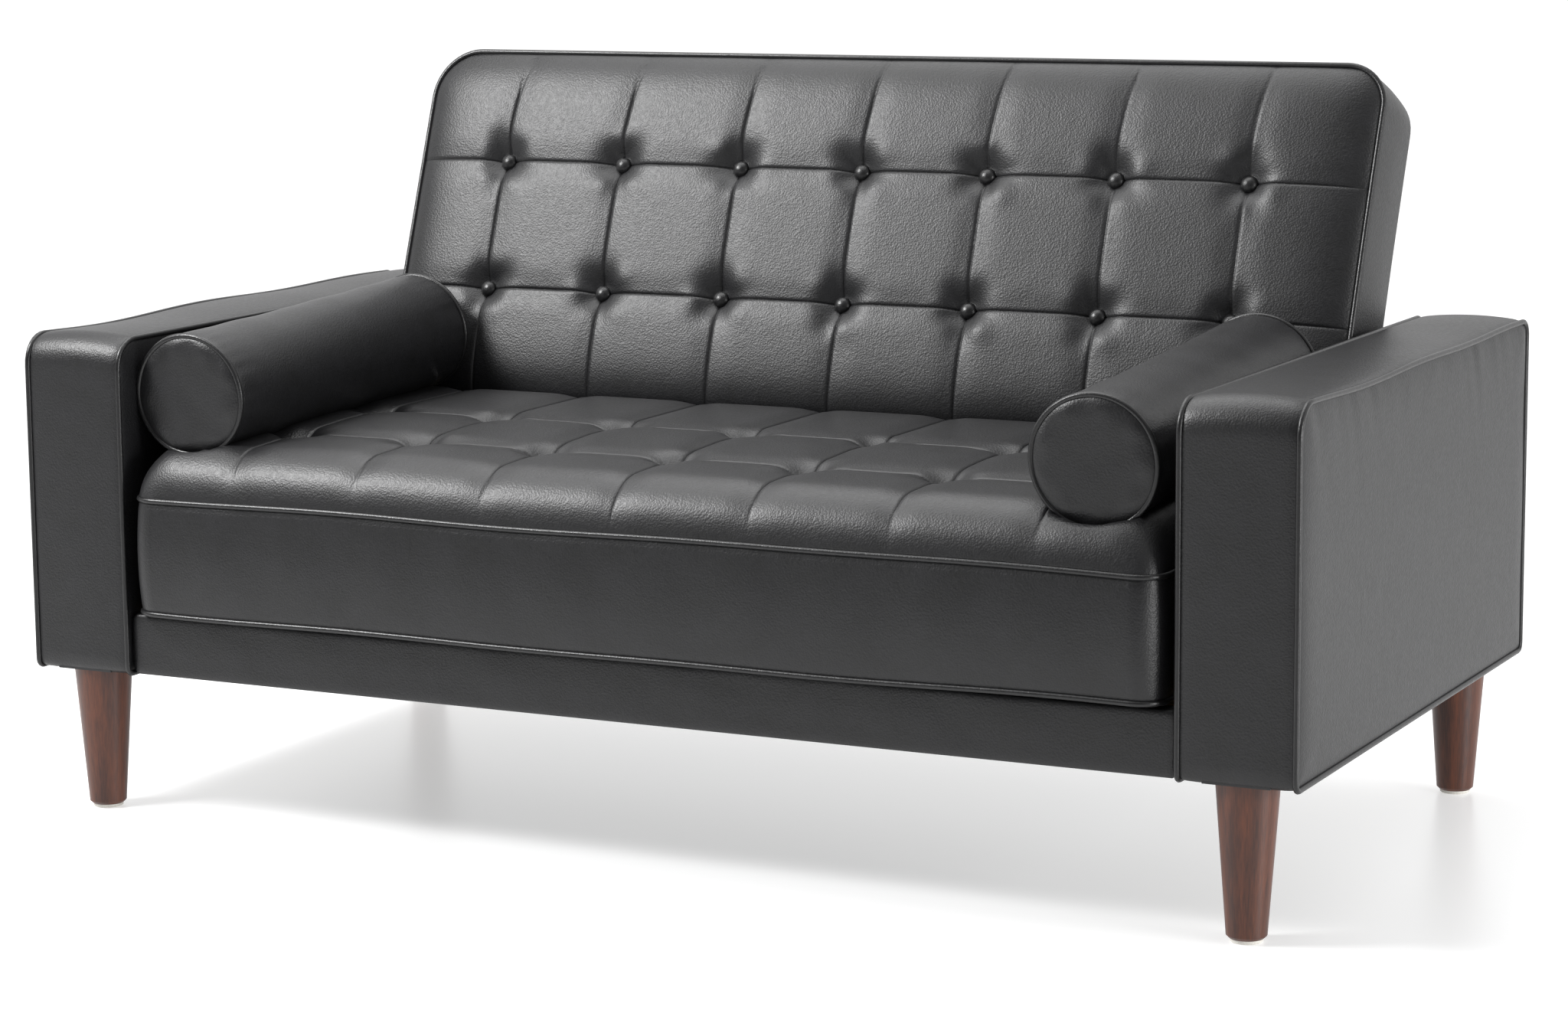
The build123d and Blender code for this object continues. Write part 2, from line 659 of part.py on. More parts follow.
# ---- back ---------------------------------------------------------------------------
def back_outline(depth, inset):
    """The back seen square to its front face, on the plane `depth` behind that face."""
    with BuildSketch(back_plane.offset(-depth)) as outline:
        with Locations((0, (fold_gap + back_length) / 2)):
            Rectangle(2 * (back_face_x - inset),
                      back_length - fold_gap - 2 * piping_proud - 2 * inset)
        corners = outline.vertices().group_by(Axis.Y)
        fillet(corners[-1], back_corner_radius - inset)
        fillet(corners[0], back_foot_radius - inset)
    return outline.sketch


def back_layer(start, end, inset):
    """A slab of the back's outline, from `start` to `end` behind its front face."""
    with BuildPart() as layer:
        extrude(back_outline(start, inset), amount=-(end - start))
    return layer.part


def back_band(low, high, half_low, half_high, start, end):
    """A box in the back's own directions: up the slope, across, and behind the face."""
    with BuildPart() as band:
        with BuildSketch(back_plane.offset(-start)):
            with Locations(((half_low + half_high) / 2, (low + high) / 2)):
                Rectangle(half_high - half_low, high - low)
        extrude(amount=-(end - start))
    return band.part


back_inset = cover_wall + ease
board_rear = back_thickness - back_edge_round - ease
board_front = board_rear - board_thickness
webbing_front = board_front - webbing_thickness
foam_rear = webbing_front - ease
back_low = fold_gap + piping_proud + back_inset
back_high = back_length - piping_proud - back_inset
back_half = back_face_x - back_inset
inner_half = back_half - back_board_width
back_rows = [back_length - row for row in back_button_rows]

with BuildPart() as back_cover:
    extrude(back_outline(0, rebate), amount=-rebate)
    extrude(back_outline(rebate, 0), amount=-(back_thickness - rebate))
    rear_face = back_cover.faces().sort_by(Axis(fold_point, back_plane.z_dir))[0]
    fillet(rear_face.edges(), back_edge_round)
    add(back_layer(cover_wall, back_thickness - cover_wall, cover_wall + back_edge_round / 2),
        mode=Mode.SUBTRACT)
    add(back_layer(cover_wall, back_thickness - back_edge_round, cover_wall), mode=Mode.SUBTRACT)
    with BuildSketch(back_plane):
        with Locations(*button_places(back_rows)):
            Circle(button_shank_radius + screw_fit)
    extrude(amount=-cover_wall, mode=Mode.SUBTRACT)
save(back_cover.part, "back_cover")

with BuildPart() as back_piping:
    extrude(back_outline(-piping_proud, -piping_proud), amount=-piping_size)
    extrude(back_outline(-piping_proud, piping_size - piping_proud), amount=-piping_size,
            mode=Mode.SUBTRACT)
save(back_piping.part, "back_piping")

lower = (back_low, back_low + back_board_width)
upper = (back_high - back_board_width, back_high)
for name, (low, high) in (("back_bottom_board", lower), ("back_top_board", upper)):
    with BuildPart() as cross_board:
        add(back_layer(board_front, board_rear, back_inset))
        add(back_band(low, high, -back_half, back_half, board_front, board_rear),
            mode=Mode.INTERSECT)
    save(cross_board.part, name)
for word, side in sides:
    ends = sorted((side * inner_half, side * back_half))
    save(back_band(lower[1], upper[0], *ends, board_front, board_rear), f"back_side_board_{word}")

straps = []
strap_step = 2 * inner_half / webbing_count
for k in range(webbing_count):
    x = -inner_half + strap_step * (k + 0.5)
    straps.append(back_band(lower[0] + back_board_width / 2, upper[1] - back_board_width / 2,
                            x - webbing_width / 2, x + webbing_width / 2,
                            webbing_front, board_front))
save(Compound(straps), "back_webbing")

with BuildPart() as back_foam:
    add(back_layer(back_inset, foam_rear, back_inset))
    with BuildSketch(back_plane.offset(-back_inset)):
        with Locations(*button_places(back_rows)):
            Circle(button_shank_radius + screw_fit)
    extrude(amount=-button_shank_length, mode=Mode.SUBTRACT)
save(back_foam.part, "back_foam")

buttons = []
for x, up in button_places(back_rows):
    place = Plane(back_plane.from_local_coords((x, up, 0)), x_dir=(1, 0, 0),
                  z_dir=back_plane.z_dir)
    buttons.append(place * covered_button())
save(Compound(buttons), "back_buttons")


# ---- bolsters -----------------------------------------------------------------------
for word, x, shift in (
    ("left", left_bolster_gap + bolster_radius - arm_inner_x, 0),
    ("right", arm_inner_x - bolster_radius - right_bolster_gap, right_bolster_shift),
):
    front_y = fold_y - bolster_rear_gap - bolster_length - shift
    rise = (bolster_radius + ease) / cos(seat_slope)
    centre_z = seat_crown_front + (front_y - seat_face_y) * tan(seat_slope) + rise
    axis_plane = Plane(origin=(x, front_y, centre_z), x_dir=(1, 0, 0),
                       z_dir=(0, cos(seat_slope), sin(seat_slope)))
    with BuildPart() as bolster_cover:
        with BuildSketch(axis_plane):
            Circle(bolster_radius - groove_size)
        extrude(amount=bolster_length)
        with BuildSketch(axis_plane.offset(bolster_piping_size)):
            Circle(bolster_radius)
        extrude(amount=bolster_length - 2 * bolster_piping_size)
        with BuildSketch(axis_plane.offset(bolster_wall)):
            Circle(bolster_radius - groove_size - bolster_wall)
        extrude(amount=bolster_length - 2 * bolster_wall, mode=Mode.SUBTRACT)
    save(bolster_cover.part, f"bolster_cover_{word}")
    with BuildPart() as bolster_core:
        with BuildSketch(axis_plane.offset(bolster_wall + ease)):
            Circle(bolster_radius - groove_size - bolster_wall - ease)
        extrude(amount=bolster_length - 2 * (bolster_wall + ease))
    save(bolster_core.part, f"bolster_core_{word}")
    rings = []
    for start in (0, bolster_length - bolster_piping_size + stitch_ease):
        with BuildPart() as ring:
            with BuildSketch(axis_plane.offset(start)):
                Circle(bolster_radius)
                Circle(bolster_radius - groove_size + stitch_ease, mode=Mode.SUBTRACT)
            extrude(amount=bolster_piping_size - stitch_ease)
        rings.append(ring.part)
    save(Compound(rings), f"bolster_piping_{word}")


# ---- hinge pawls --------------------------------------------------------------------
for word, side in sides:
    with BuildPart() as pawl:
        with BuildSketch(pawl_side_plane.offset(side * back_leaf_x)):
            pin = pawl_side_plane.to_local_coords(Vector(0, pawl_pin_y, pawl_pin_z))
            with Locations((pin.X, pin.Y)):
                Circle(pawl_boss_radius)
            with Locations((ratchet_radius + pawl_clearance, 0)):
                Rectangle(pawl_tip_width, pawl_tip_width, align=(Align.MIN, Align.CENTER))
            make_hull()
            with Locations((pin.X, pin.Y)):
                Circle(pawl_pin_radius + running_fit, mode=Mode.SUBTRACT)
        extrude(amount=side * leaf_thickness)
    save(pawl.part, f"hinge_pawl_{word}")

print("fold axis at", [round(value / 1000, 5) for value in fold_point])
print("pawl pin at", round(pawl_pin_y / 1000, 5), round(pawl_pin_z / 1000, 5))
print("floor glides at", [(round(x / 1000, 4), round(y / 1000, 4)) for name, (x, y) in legs])
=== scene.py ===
# %% [markdown]
# # A tufted two-seat sofa bed
# The real one is a timber frame with steel fold hinges, wrapped in foam and a black
# faux-leather cover that is sewn over round piping. The frame, the legs and the hinges
# come ready made as the fixed frame that is loaded here. This notebook makes the soft
# skin round them: every cushion is a surface worked out by a formula, so that its seams,
# buttons and piping always meet.

# %% Load the fixed frame
import json
import bpy
import bmesh
import numpy as np
from mathutils import Matrix, Vector
from math import cos, sin, tan, radians, pi


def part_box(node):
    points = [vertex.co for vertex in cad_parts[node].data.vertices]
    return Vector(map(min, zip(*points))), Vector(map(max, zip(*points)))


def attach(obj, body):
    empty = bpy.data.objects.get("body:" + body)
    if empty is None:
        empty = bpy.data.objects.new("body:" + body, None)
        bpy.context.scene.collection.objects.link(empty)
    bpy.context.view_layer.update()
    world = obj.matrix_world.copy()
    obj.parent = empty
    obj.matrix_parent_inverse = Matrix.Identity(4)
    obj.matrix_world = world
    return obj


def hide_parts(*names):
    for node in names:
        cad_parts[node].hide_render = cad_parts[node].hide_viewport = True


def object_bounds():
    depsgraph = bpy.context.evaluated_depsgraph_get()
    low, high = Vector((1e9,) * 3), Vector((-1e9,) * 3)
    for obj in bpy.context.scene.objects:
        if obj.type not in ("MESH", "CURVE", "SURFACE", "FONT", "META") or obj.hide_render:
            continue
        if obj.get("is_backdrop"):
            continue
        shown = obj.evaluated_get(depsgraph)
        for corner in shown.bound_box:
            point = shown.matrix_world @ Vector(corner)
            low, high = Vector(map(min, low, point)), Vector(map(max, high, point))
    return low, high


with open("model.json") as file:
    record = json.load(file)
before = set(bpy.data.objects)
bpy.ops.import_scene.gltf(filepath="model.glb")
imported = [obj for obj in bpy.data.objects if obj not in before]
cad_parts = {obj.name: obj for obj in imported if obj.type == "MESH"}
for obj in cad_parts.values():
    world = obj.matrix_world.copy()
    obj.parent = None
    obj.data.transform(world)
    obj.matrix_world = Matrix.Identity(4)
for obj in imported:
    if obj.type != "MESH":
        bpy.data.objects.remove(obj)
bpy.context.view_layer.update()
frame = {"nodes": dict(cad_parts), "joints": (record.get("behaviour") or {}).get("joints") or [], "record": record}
nodes = frame["nodes"]
MM = 0.001

# %% [markdown]
# ## Places from the frame
# The box of each covered block says where its faces are. The rows of buttons and the
# lean repeat the design's own figures, and
# the fold joint says where the seat top meets the back. The back leans, so it gets its
# own directions: across, up its slope, and out of its front face.

# %% Sizes and places
fold = np.array(next(j for j in frame["joints"] if j["name"] == "back_fold")["pos_m"])
LEAN = radians(20.25)
UP_SLOPE = np.array([0.0, sin(LEAN), cos(LEAN)])
OUT_FRONT = np.array([0.0, -cos(LEAN), sin(LEAN)])
PITCH = 161.5 * MM               # between the button columns
COLUMNS = PITCH * np.arange(-3, 4)
WELT = 3.2 * MM                  # radius of the piping
SUNK = 0.3 * MM                  # its centre lies this far inside both faces it joins

seat_low, seat_high = map(np.array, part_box("seat_cover"))
_, back_high = map(np.array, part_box("back_cover"))
OVER_PIPING = 2.2 * MM           # the rows are measured from the front of the piping
SEAT_ROWS = seat_low[1] - OVER_PIPING + np.array([150.0, 325.0]) * MM
BACK_TOP, BACK_FOOT = 451.5 * MM, 6.2 * MM
BACK_THICK = 116 * MM           # stuffed 8 mm fuller behind than the plain block of the frame
BACK_ROWS = np.array([145.0, 307.0]) * MM
print("seat", seat_low.round(3), seat_high.round(3), "fold", fold)

# %% [markdown]
# ## Grids that become meshes
# A cushion is a block of three skins: a front grid, a rear grid, and a band of loops
# that joins their edges. numpy works out all the points at once, and the faces follow
# from the grid's own numbering.

# %% Mesh helpers
def object_from(name, points, faces, smooth=True):
    """A linked object from an array of points and a list or array of faces, facing outwards."""
    mesh = bpy.data.meshes.new(name)
    mesh.from_pydata(np.asarray(points).reshape(-1, 3).tolist(), [], [list(map(int, f)) for f in faces])
    work = bmesh.new()
    work.from_mesh(mesh)
    bmesh.ops.remove_doubles(work, verts=work.verts, dist=1e-6)
    bmesh.ops.recalc_face_normals(work, faces=work.faces)
    work.to_mesh(mesh)
    work.free()
    mesh.polygons.foreach_set("use_smooth", [smooth] * len(mesh.polygons))
    piece = bpy.data.objects.new(name, mesh)
    bpy.context.scene.collection.objects.link(piece)
    return piece


def grid_faces(rows, cols, start=0, wrap=False):
    """Quads of a rows x cols grid of points numbered row by row; wrap joins each row's ends."""
    r = np.arange(rows - 1)[:, None]
    c = np.arange(cols if wrap else cols - 1)[None, :]
    d = (c + 1) % cols
    quads = np.stack([r * cols + c, r * cols + d, (r + 1) * cols + d, (r + 1) * cols + c], -1)
    return quads.reshape(-1, 4) + start


def rim(grid):
    """The grid's edge points as one closed loop, counter-clockwise over rows and columns."""
    return np.concatenate([grid[0, :-1], grid[:-1, -1], grid[-1, :0:-1], grid[:0:-1, 0]])


def loop_outward(loop, axis):
    """Unit vectors pointing out of a closed loop that turns counter-clockwise round `axis`."""
    along = np.roll(loop, -1, 0) - np.roll(loop, 1, 0)
    out = np.cross(along, axis)
    return out / np.maximum(np.linalg.norm(out, axis=1, keepdims=True), 1e-12)


def block(name, front, rear, axis, bulge, rings=36):
    """Closed cushion from two grids and a band between their rims.

    Band point = (1 - t) front rim + t rear rim + bulge(t, rim point) out of the rim.
    """
    first, last = rim(front), rim(rear)
    out = loop_outward(first, axis)
    t = ((1 - np.cos(np.linspace(0, pi, rings + 1))) / 2)[:, None, None]
    band = (1 - t) * first + t * last
    band = band + out * bulge(t[..., 0], first)[..., None]
    sheets = [front, rear]
    points = np.concatenate([front.reshape(-1, 3), rear.reshape(-1, 3), band.reshape(-1, 3)])
    size = front.shape[0] * front.shape[1]
    faces = [grid_faces(*g.shape[:2], start=k * size) for k, g in enumerate(sheets)]
    faces.append(grid_faces(rings + 1, len(first), start=2 * size, wrap=True))
    return object_from(name, points, np.concatenate(faces))


def tube(name, loop, out, axis, radius=WELT, sides=10):
    """Round piping: a circle of `radius` in the plane of `out` and `axis`, carried round a loop."""
    turn = np.linspace(0, 2 * pi, sides, endpoint=False)[None, :, None]
    ring = loop[:, None] + radius * (np.cos(turn) * out[:, None] + np.sin(turn) * axis)
    count = len(loop)
    faces = grid_faces(count, sides, wrap=True)
    c = np.arange(sides)
    last, after = (count - 1) * sides, (c + 1) % sides
    close = np.stack([last + c, last + after, after, c], -1)
    return object_from(name, ring, np.concatenate([faces, close]))


# %% [markdown]
# ## Even and uneven spacing
# A sewn seam is a sharp valley only a few millimetres wide, while the leather between
# seams is smooth. Points are spaced by a cosine between each pair of seams, so that they
# crowd at the seams where the surface bends and spread out in the middle.

# %% Spacing and rounded outlines
def crowded(stops, count):
    """Stations between the stops, `count` to each gap, crowded at every stop by a cosine."""
    ease_in = (1 - np.cos(np.linspace(0, pi, count + 1))) / 2
    runs = [a + (b - a) * ease_in[:-1] for a, b in zip(stops[:-1], stops[1:])]
    return np.append(np.concatenate(runs), stops[-1])


def corner(radius, d):
    """How far a rounded corner cuts in at a distance d from the end of a side."""
    d = np.clip(d, 0, radius)
    return radius - np.sqrt(np.maximum(radius ** 2 - (radius - d) ** 2, 0))


def outline_grid(u, v, low_radii, high_radii):
    """Plan grid of a rounded rectangle: each row is squeezed to fit between its corner arcs."""
    v = v[:, None]
    left = u[0] + corner(low_radii[0], v - v[0]) + corner(high_radii[0], v[-1] - v)
    right = u[-1] - corner(low_radii[1], v - v[0]) - corner(high_radii[1], v[-1] - v)
    share = (u - u[0]) / (u[-1] - u[0])
    return left + (right - left) * share, v + 0 * u


def quarter(t):
    """Height of a quarter circle: 0 at the rim, 1 where the roll ends."""
    t = np.clip(t, 0, 1)
    return np.sqrt(1 - (1 - t) ** 2)


def waves(x, seed, lengths, height):
    """Sum of sines of the given lengths with seeded phases, scaled to about `height`."""
    rng = np.random.default_rng(seed)
    total = sum(np.sin(2 * pi * x / w + rng.uniform(0, 2 * pi)) * rng.uniform(0.5, 1) for w in lengths)
    return height * total / len(lengths)


def seam_dip(distance, depth, lip=0.6 * MM):
    """Leather drawn down beside a sewn seam: depth * (exp(-d / 3 mm) - exp(-d / lip))."""
    return depth * (np.exp(-distance / (3 * MM)) - np.exp(-distance / lip))


# %% [markdown]
# ## Tufting
# Every button is tied through the foam. It pulls the leather into a cone, and the sewn
# lines between buttons are shallow creases in broad valleys. One formula gives the
# height over any point from its distance to the nearest seams and to the nearest button.

# %% The tufting formula
def nearest(values, stops):
    """Signed distance from each value to the nearest stop, and that stop's number."""
    gap = values[..., None] - np.asarray(stops)
    which = np.abs(gap).argmin(-1)
    return np.take_along_axis(gap, which[..., None], -1)[..., 0], which


def tufts(u, v, cols, rows, valley, crease, well, seed, sag=0.0, cross=1.0):
    """Depth of the tufting below the crests, at u across and v up.

    Depth = valley * (bell across each seam) + crease * (sharp cusp at each seam)
          + well * (flat floor under the button, then a cone that reaches further on the
            side `sag` away) + folds that run out from the button.
    """
    du, col = nearest(u, cols)
    dv, row = nearest(v, rows)
    r = np.hypot(du, dv)
    lopsided = np.hypot(du, dv - sag * (1 - np.exp(-r / 0.02)))
    depth = valley * (np.exp(-(du / 0.018) ** 2) + cross * np.exp(-(dv / 0.018) ** 2))
    depth += crease * (np.exp(-np.abs(du) / 0.0011) + cross * np.exp(-np.abs(dv) / 0.0011))
    away = np.maximum(lopsided - 0.009, 0)
    depth += well * (0.55 * np.exp(-away / 0.010) + 0.45 * np.exp(-(away / 0.017) ** 2))
    rng = np.random.default_rng(seed)
    angle = np.arctan2(dv, du)
    phase = rng.uniform(0, 2 * pi, (len(cols), len(rows), 3))[col, row]
    folds = sum(np.cos(k * angle + phase[..., i]) for i, k in enumerate((2, 3, 5)))
    depth += 0.0008 * folds * np.exp(-((r - 0.030) / 0.016) ** 2)
    return depth


# %% [markdown]
# ## Seat cushion
# The seat is one box cushion: a flat front band between two rows of piping, and a tufted
# top that rolls over from the upper piping. The top's height is a quarter circle in from
# each edge, times the crown, less the tufting.

# %% Seat cushion
SEAT_WELT_Z = 372 * MM
SEAT_FOOT_Z = seat_low[2] + SUNK
FRONT_CORNER, REAR_CORNER = 30 * MM, 18 * MM
CROWN, CROWN_RISE = 60 * MM, 10 * MM
FRONT_ROLL, SIDE_ROLL, REAR_ROLL = 58 * MM, 50 * MM, 30 * MM
seat_x = crowded([seat_low[0], *COLUMNS, seat_high[0]], 30)
seat_y = crowded([seat_low[1], *SEAT_ROWS, seat_high[1]], 34)
plan_x, plan_y = outline_grid(seat_x, seat_y, (FRONT_CORNER,) * 2, (REAR_CORNER,) * 2)


def seat_rim_z(x, y, base, seed):
    """Height of a piping loop: level, with the slow waves of a hand-sewn seam."""
    front = np.exp(-(y - seat_low[1]) / 0.15)
    return base + front * waves(x, seed, (1.3, 0.72, 0.41), 3.5 * MM)


SLOPE = np.arctan2(16.0, 531.6)  # rise of the seat top, which the bolsters follow
BOLSTER_DROP = {"left": 6 * MM, "right": 13 * MM}   # how far each front end sinks in
BED_GAP = 1.0 * MM


def bolster_underside(word, x, y):
    """Lower face of a bolster, axis height less sqrt(R^2 - dx^2), ramped up ahead of its disc."""
    low, high = map(np.array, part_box(f"bolster_cover_{word}"))
    radius = (high[0] - low[0]) / 2
    dx = x - (low[0] + high[0]) / 2
    share = np.clip((y - low[1]) / (high[1] - low[1]), 0, 1)
    axis_z = low[2] + radius * cos(SLOPE) + (y - low[1]) * tan(SLOPE) - BOLSTER_DROP[word] * (1 - share)
    under = axis_z - np.sqrt(np.maximum(radius ** 2 - dx ** 2, 0)) - BED_GAP
    return under + 0.8 * np.maximum(low[1] - y, 0)


from_front = plan_y - seat_low[1]
from_side = np.minimum(plan_x - plan_x[:, :1], plan_x[:, -1:] - plan_x)
from_rear = seat_high[1] - plan_y
crown = CROWN + CROWN_RISE * np.clip(from_front / 0.25, 0, 1)
rolls = quarter(from_front / FRONT_ROLL) * quarter(from_side / SIDE_ROLL) * quarter(from_rear / REAR_ROLL)
seat_depth = tufts(plan_x, plan_y, COLUMNS, SEAT_ROWS,
                   valley=3.4 * MM, crease=2.4 * MM, well=14 * MM, seed=11)
seat_depth *= np.clip(rolls, 0, 1) ** 0.7
near_rim = np.minimum.reduce([from_front, from_side, from_rear])
top_z = seat_rim_z(plan_x, plan_y, SEAT_WELT_Z, 3) + crown * rolls - seat_depth
top_z -= seam_dip(near_rim, 3.0 * MM)
for word in BOLSTER_DROP:
    top_z = np.minimum(top_z, bolster_underside(word, plan_x, plan_y))
foot_z = seat_rim_z(plan_x, plan_y, SEAT_FOOT_Z, 5) * np.ones_like(plan_x)
seat_top = np.stack([plan_x, plan_y, top_z], -1)
seat_foot = np.stack([plan_x, plan_y, np.maximum(foot_z, seat_low[2] - 0.0015)], -1)
Z = np.array([0.0, 0.0, 1.0])


def beside_seams(t, height, gap=0.0045):
    """Dips next to the piping at both edges of a band, and a fine stitched line near the first."""
    down, up = t * height, (1 - t) * height
    dips = seam_dip(down, 2.2 * MM, 0.8 * MM) + seam_dip(up, 2.2 * MM, 0.8 * MM)
    stitch = 0.0003 * np.exp(-((down - gap - 0.003) / 0.0008) ** 2)
    return dips + stitch


def seat_bulge(t, loop):
    """The band stands a few millimetres proud half way down, more at the front."""
    front = np.exp(-(loop[:, 1] - seat_low[1]) / 0.02)
    ripple = waves(loop[:, 0] + 3 * loop[:, 1], 21, (0.5, 0.23, 0.11), 1.4 * MM)
    return np.sin(pi * t) ** 0.8 * (0.0012 + (0.0045 + ripple) * front) - beside_seams(t, 0.13)


seat_cushion = block("seat_cushion", seat_top, seat_foot, Z, seat_bulge, 60)
print("seat crest", round(float(top_z.max()), 4))

# %% Seat piping
def welt_round(name, grid, axis, shift):
    """Piping on a grid's rim, its centre moved inwards and along the axis by the sunk depth."""
    loop = rim(grid)
    out = loop_outward(loop, axis)
    return tube(name, loop - SUNK * out + shift * axis, out, axis)


seat_welt_top = welt_round("seat_welt_top", seat_top, Z, 0.0)
seat_welt_foot = welt_round("seat_welt_foot", seat_foot, Z, 0.0)

# %% [markdown]
# ## Back cushion
# The back is a slab that leans with the frame. Its front is tufted by two rows of seven
# buttons, its rim is piped, and its sides are plain. Heights are measured out of the
# front face, so the same tufting formula serves.

# %% Back cushion
def on_back(a, b, d):
    """Points from across, up the slope, and out of the back's front face."""
    return fold + a[..., None] * np.array([1.0, 0, 0]) + b[..., None] * UP_SLOPE + d[..., None] * OUT_FRONT


back_half = back_high[0]
TOP_CORNERS = (61 * MM, 49 * MM)   # hand-filled, so not quite alike
FOOT_CORNERS = (9 * MM, 9 * MM)
SWELL = 20 * MM                  # how far the stuffing stands out of the front face


def flare(a, b):
    """The stuffing spreads the upper right end by 6 mm."""
    return 6 * MM * np.clip(a / back_half, 0, 1) * np.clip(b / BACK_TOP, 0, 1) ** 2


def drift(a, b):
    """Sideways wander of the seams: a little left low down, bending right above the top row."""
    rise = np.clip((b - BACK_ROWS[1]) / (BACK_TOP - BACK_ROWS[1]), 0, 1)
    inside = np.clip((back_half - np.abs(a)) / 0.08, 0, 1)
    return inside * (0.014 * rise ** 2 - 0.006)


back_a = crowded([-back_half, *COLUMNS, back_half], 30)
back_b = crowded([BACK_FOOT, *BACK_ROWS, BACK_TOP], 34)
grid_a, grid_b = outline_grid(back_a, back_b, FOOT_CORNERS, TOP_CORNERS)
grid_a = grid_a + flare(grid_a, grid_b)
edge_a = np.minimum(grid_a - grid_a[:, :1], grid_a[:, -1:] - grid_a)
edge_b = np.minimum(grid_b - BACK_FOOT, BACK_TOP - grid_b)
near_edge = np.minimum(edge_a, edge_b)
swell = SWELL * (1 - np.exp(-edge_a / 0.028)) * (1 - np.exp(-edge_b / 0.024))
back_depth = tufts(grid_a, grid_b, COLUMNS, BACK_ROWS,
                   valley=1.6 * MM, crease=2.1 * MM, well=11 * MM, seed=5, sag=5 * MM)
back_depth *= (1 - np.exp(-edge_a / 0.012)) * (1 - np.exp(-edge_b / 0.012))
back_front_d = swell - back_depth - seam_dip(near_edge, 3.5 * MM)
front_a = grid_a + drift(grid_a, grid_b)
back_front = on_back(front_a, grid_b, back_front_d)
ROUND = 12 * MM                  # the boxed rear edges
rear_a, rear_b = outline_grid(
    back_a * (back_half - ROUND) / back_half,
    BACK_FOOT + ROUND + (back_b - BACK_FOOT) * (BACK_TOP - BACK_FOOT - 2 * ROUND) / (BACK_TOP - BACK_FOOT),
    (0.001, 0.001), tuple(r - ROUND for r in TOP_CORNERS))
back_rear = on_back(rear_a + flare(rear_a, rear_b), rear_b, np.full_like(rear_a, -BACK_THICK))


def back_bulge(t, loop):
    """Keeps the boxed side straight, then turns it in over a quarter circle to the rear face."""
    turn = np.clip((t - (1 - ROUND / BACK_THICK)) / (ROUND / BACK_THICK), 0, 1)
    straight = ROUND * t - ROUND * (1 - np.sqrt(1 - turn ** 2))
    ripple = waves(loop[:, 2] + loop[:, 0], 33, (0.31, 0.13), 0.7 * MM)
    return straight + np.sin(pi * t) * (0.0025 + ripple) - beside_seams(t, BACK_THICK) * (t < 0.5)


back_cushion = block("back_cushion", back_front, back_rear, OUT_FRONT, back_bulge, 56)
back_welt = welt_round("back_welt", on_back(grid_a, grid_b, 0 * grid_a), OUT_FRONT, -SUNK)

# %% [markdown]
# ## Covered buttons
# A covered button is a metal mould in a scrap of the same leather: a smooth dome with a
# rim that tucks under. A dome is radius times the cosine, height times the sine, of an
# angle that runs from the rim to the top.

# %% Buttons
def domes(name, centres, outs, radius=10.8 * MM, height=8.5 * MM):
    """Domed discs: rings of shrinking radius from a tucked-in foot over a dome to the pole."""
    lift = np.concatenate([[-0.6, -0.6, -0.3], np.sin(np.linspace(0, pi / 2, 10))])
    reach = np.concatenate([[0.001, 0.70, 0.93], np.cos(np.linspace(0, pi / 2, 10))])
    reach[-1] = 0.001
    turn = np.linspace(0, 2 * pi, 28, endpoint=False)
    points, faces = [], []
    for k, (centre, out) in enumerate(zip(centres, outs)):
        side = np.array([1.0, 0, 0])
        up = np.cross(out, side)
        ring = np.cos(turn)[:, None] * side + np.sin(turn)[:, None] * up
        body = centre + radius * reach[:, None, None] * ring + height * lift[:, None, None] * out
        base = k * body.shape[0] * body.shape[1]
        points.append(body.reshape(-1, 3))
        faces += grid_faces(*body.shape[:2], start=base, wrap=True).tolist()
        faces.append(list(range(base, base + len(turn))))
        faces.append(list(range(base + (len(reach) - 1) * len(turn), base + len(reach) * len(turn))))
    return object_from(name, np.concatenate(points), faces)


back_spots = np.array([(a, b) for b in BACK_ROWS for a in COLUMNS])
well_floor = back_front_d[np.isclose(grid_b, BACK_ROWS[0])].min()
spot_a = back_spots[:, 0] + drift(back_spots[:, 0], back_spots[:, 1])
back_centres = on_back(spot_a, back_spots[:, 1], np.full(len(back_spots), well_floor + 0.0060))
back_buttons = domes("back_buttons_covered", back_centres, [OUT_FRONT] * len(back_spots))
seat_centres = []
for y in SEAT_ROWS:
    for x in COLUMNS:
        near = np.hypot(plan_x - x, plan_y - y).argmin()
        seat_centres.append([x, y, top_z.flat[near] + 0.0030])
seat_buttons = domes("seat_buttons_covered", np.array(seat_centres), [Z] * len(seat_centres),
                     radius=9.5 * MM, height=5 * MM)
print("button well", round(float(well_floor), 4))

# %% [markdown]
# ## Arms
# Each arm is a padded box: two flat side panels and a strip that runs round between
# them, sewn in with piping. The strip crowns over the padding on top, and the outer
# panel has faint puckers where it is gathered under the piping.

